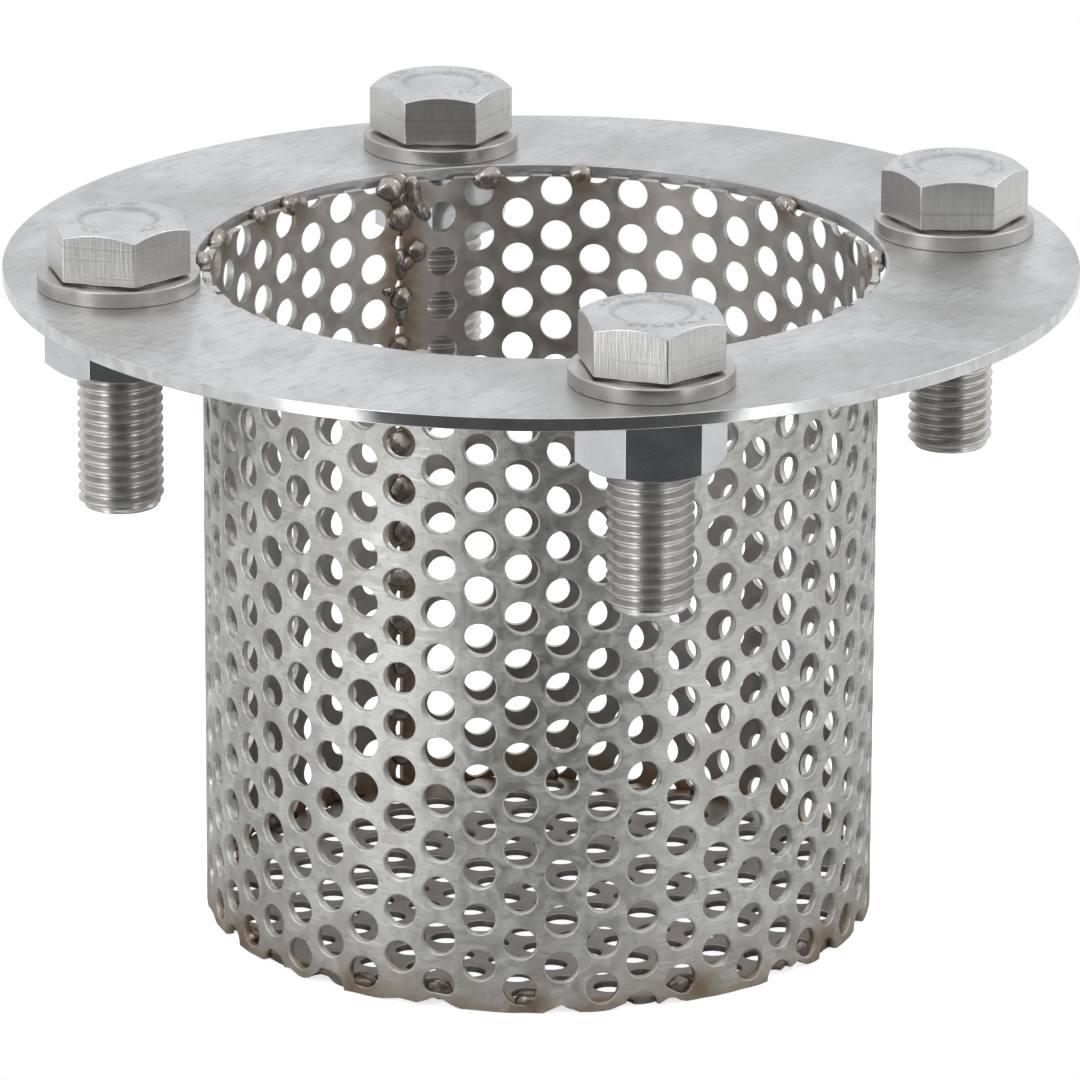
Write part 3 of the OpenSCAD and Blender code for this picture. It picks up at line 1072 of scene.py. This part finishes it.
def washer_metal():
    """Stamped washer: smooth faces with a little tumbling wear."""
    m = Metal("washer_tumbled")
    pits = m.noise(900, detail=2.0)
    cloud = m.noise(160, detail=3.0)
    rim = m.noise(1800, (0.05, 0.05, 1), 0, 1.0)
    colour = m.mix(m.spread(cloud, 0.35, 0.7), (0.42, 0.405, 0.38), (0.56, 0.55, 0.53))
    rough = m.sum(m.spread(cloud, 0.3, 0.7, 0.24, 0.32), pits, 0.04)
    normal = m.bump(m.sum(m.times(rim, 0.5), pits, 0.35), 5e-6)
    return m.done(colour, rough, normal)


def nut_metal():
    """Cold-formed nut: nearly polished, faintly speckled."""
    m = Metal("nut_bright")
    speckle = m.noise(2600, detail=3.0)
    cloud = m.noise(200, detail=3.0)
    colour = m.mix(m.spread(cloud, 0.35, 0.7), (0.60, 0.605, 0.615), (0.68, 0.685, 0.695))
    colour = m.coats(colour, [(m.spread(speckle, 0.60, 0.68), 0.6, (0.84, 0.84, 0.84))])
    rough = m.spread(cloud, 0.3, 0.7, 0.13, 0.20)
    normal = m.bump(speckle, 2.0e-5)
    return m.done(colour, rough, normal)


# -------- the pieces, each on its body
ring_skin, edge_skin, wall_skin, inside_skin = ring_metal(), edge_metal(), wall_metal(), inner_metal()
weld_skin, head_skin, thread_skin = weld_metal(), head_metal(), thread_metal()
washer_skin, nut_skin = washer_metal(), nut_metal()


def install(piece, body, node):
    """The piece rides on its body, and is drawn in place of its node."""
    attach(piece, body)
    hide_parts(node)


seam_spots = [around(SEAM_AT) * INNER_R + np.array([0, 0, z * MM]) for z in range(5, 125, 4)]
ring_spots = [around(a) * RING_HOLE_R + np.array([0, 0, SHELL_TOP]) for a in FLANGE_TACKS]
rim_spots = [around(a) * INNER_R + np.array([0, 0, SHEET]) for a in FLOOR_TACKS]


def foot_heat(radius, height):
    """The wall is burnt inside where the floor is welded in, and faintly tinted outside."""
    inside = np.interp(height, [2 * MM, 8 * MM], [1.0, 0.0])
    outside = np.interp(height, [0.5 * MM, 4.5 * MM], [0.38, 0.0])
    return np.where(radius < MEAN_R, inside, outside)


def disc_heat(radius, height):
    """The floor is burnt round its edge."""
    return np.interp(radius, [FLOOR_R - 3.5 * MM, FLOOR_R - 0.5 * MM], [0.0, 1.0])


wall = make_shell([wall_skin, inside_skin])
add_heat(wall, np.array(seam_spots + ring_spots + rim_spots), 4.2 * MM, foot_heat)
install(wall, "strainer", "basket_shell")

disc = make_floor([inside_skin, wall_skin, cut_metal()])
add_heat(disc, np.array(rim_spots), 4.5 * MM, disc_heat)
install(disc, "strainer", "basket_floor")

plate = make_ring([ring_skin, edge_skin])
add_heat(plate, np.array(ring_spots), 1.6 * MM)
install(plate, "strainer", "flange_ring")

install(make_seam_weld([weld_skin]), "strainer", "shell_seam_weld")
install(make_flange_tacks([weld_skin]), "strainer", "flange_tack_welds")
install(make_floor_tacks([weld_skin]), "strainer", "floor_tack_welds")

for side in SIDES:
    install(make_bolt(side, [head_skin, thread_skin]), f"{side}_bolt", f"{side}_bolt")
    install(make_washer(side, washer_skin), f"{side}_washer", f"{side}_washer")
    install(make_nut(side, [nut_skin]), f"{side}_nut", f"{side}_nut")

# -------- floor, light and camera
VIEW_TURN = math.radians(-14.22)
VIEW_DROP = 0.2842
VIEW_DISTANCE = 1.5674
FOCAL_PIXELS = 8428.76
PICTURE_PIXELS = 1080
SENSOR_MM = 36.0
TILT, ROLL = 0.0335, 0.0045


def make_camera():
    """The photograph's own viewpoint."""
    data = bpy.data.cameras.new("photo_camera")
    data.sensor_width = SENSOR_MM
    data.lens = FOCAL_PIXELS / PICTURE_PIXELS * SENSOR_MM
    data.dof.use_dof = False
    data.clip_start, data.clip_end = 0.05, 20
    cam = new_object("photo_camera", data)
    turn = Matrix.Rotation(VIEW_TURN, 4, "Z")
    aim = turn @ Matrix.Rotation(math.pi / 2 - VIEW_DROP, 4, "X")
    aim = aim @ Matrix.Rotation(-TILT, 4, "X") @ Matrix.Rotation(ROLL, 4, "Z")
    back = Vector((0, -VIEW_DISTANCE * math.cos(VIEW_DROP), VIEW_DISTANCE * math.sin(VIEW_DROP)))
    place = Vector((0, 0, RING_TOP)) + turn.to_3x3() @ back
    cam.matrix_world = Matrix.Translation(place) @ aim
    bpy.context.scene.camera = cam


def make_stage():
    """A round, pale, slightly self-lit floor, mostly behind the basket."""
    count, radius, behind = 96, 0.24, 0.13
    turns = [2 * math.pi * k / count for k in range(count)]
    verts = [(0, 0, 0), *((radius * math.cos(a), radius * math.sin(a), 0) for a in turns)]
    faces = [(0, 1 + k, 1 + (k + 1) % count) for k in range(count)]
    material = bpy.data.materials.new("pale_floor")
    material.use_nodes = True
    shader = material.node_tree.nodes["Principled BSDF"]
    shader.inputs["Base Color"].default_value = (0.58, 0.58, 0.58, 1)
    shader.inputs["Roughness"].default_value = 0.9
    shader.inputs["Specular IOR Level"].default_value = 0.0
    shader.inputs["Emission Color"].default_value = (1, 1, 1, 1)
    # seen straight on it is as white as the backdrop, but it throws back less light
    nodes = Nodes(material.node_tree)
    glow = nodes.times(nodes.add("LightPath").outputs["Is Camera Ray"], 0.75)
    nodes.put(shader.inputs["Emission Strength"], glow)
    obj = make_object("pale_floor", verts, faces, [material])
    obj.location = (-math.sin(VIEW_TURN) * behind, math.cos(VIEW_TURN) * behind, -0.02 * MM)


def make_world():
    """Soft white surroundings: brighter left and right, darker where the photographer stands."""
    world = bpy.data.worlds.new("studio")
    world.use_nodes = True
    bpy.context.scene.world = world
    world.node_tree.nodes.clear()
    n = Nodes(world.node_tree)
    towards = n.add("TexCoord").outputs["Generated"]

    def along(axis):
        return n.add("VectorMath", {0: towards, 1: axis}, operation="DOT_PRODUCT").outputs["Value"]

    def step(value, low, high, to_low=0.0, to_high=1.0):
        return n.spread(value, low, high, to_low, to_high, interpolation_type="SMOOTHSTEP")

    ahead = along((math.sin(VIEW_TURN), -math.cos(VIEW_TURN), 0.0))
    across = along((math.cos(VIEW_TURN), math.sin(VIEW_TURN), 0.0))
    height = along((0.0, 0.0, 1.0))
    # degrees round from the line of sight, to the right above 0 and to the left below
    bearing = n.times(n.calc("ARCTAN2", across, ahead), math.degrees(1))
    below = step(height, 0.12, 0.38, 1.0, 0.0)

    def band(start, end, soft=5):
        upright = n.times(step(bearing, start, start + soft), step(bearing, end - soft, end, 1.0, 0.0))
        return n.times(upright, below)

    light = step(height, -0.2, 0.5, 0.84, 1.0)
    for start, end, extra in ((-57, -36, 1.7), (39, 58, 0.8)):
        light = n.sum(light, band(start, end), extra)
    # the dark patch is the camera and the photographer
    light = n.times(light, n.sum(1.0, band(-40, 43), -0.89))
    lit = n.add("Background", {"Strength": light, "Color": (0.98, 0.995, 1.01, 1)})
    plain = n.add("Background", {"Strength": 1.0, "Color": (1, 1, 1, 1)})
    seen = n.add("LightPath").outputs["Is Camera Ray"]
    both = n.add("MixShader", {0: seen, 1: lit.outputs[0], 2: plain.outputs[0]})
    n.add("OutputWorld", {"Surface": both.outputs[0]})


def add_lamp(name, place, size, power):
    """A soft square lamp that points at the flange."""
    data = bpy.data.lights.new(name, "AREA")
    data.size = size
    data.energy = power
    lamp = new_object(name, data)
    lamp.location = place
    lamp.rotation_mode = "QUATERNION"
    lamp.rotation_quaternion = (Vector((0, 0, RING_TOP)) - Vector(place)).to_track_quat("-Z", "Y")
    lamp.visible_camera = False


make_stage()
make_world()
add_lamp("left_softbox", (-0.9, -0.5, 1.0), 0.5, 2.5)
add_lamp("right_softbox", (1.0, 0.1, 0.9), 0.5, 1.5)
make_camera()
bpy.context.scene.view_settings.view_transform = "Standard"
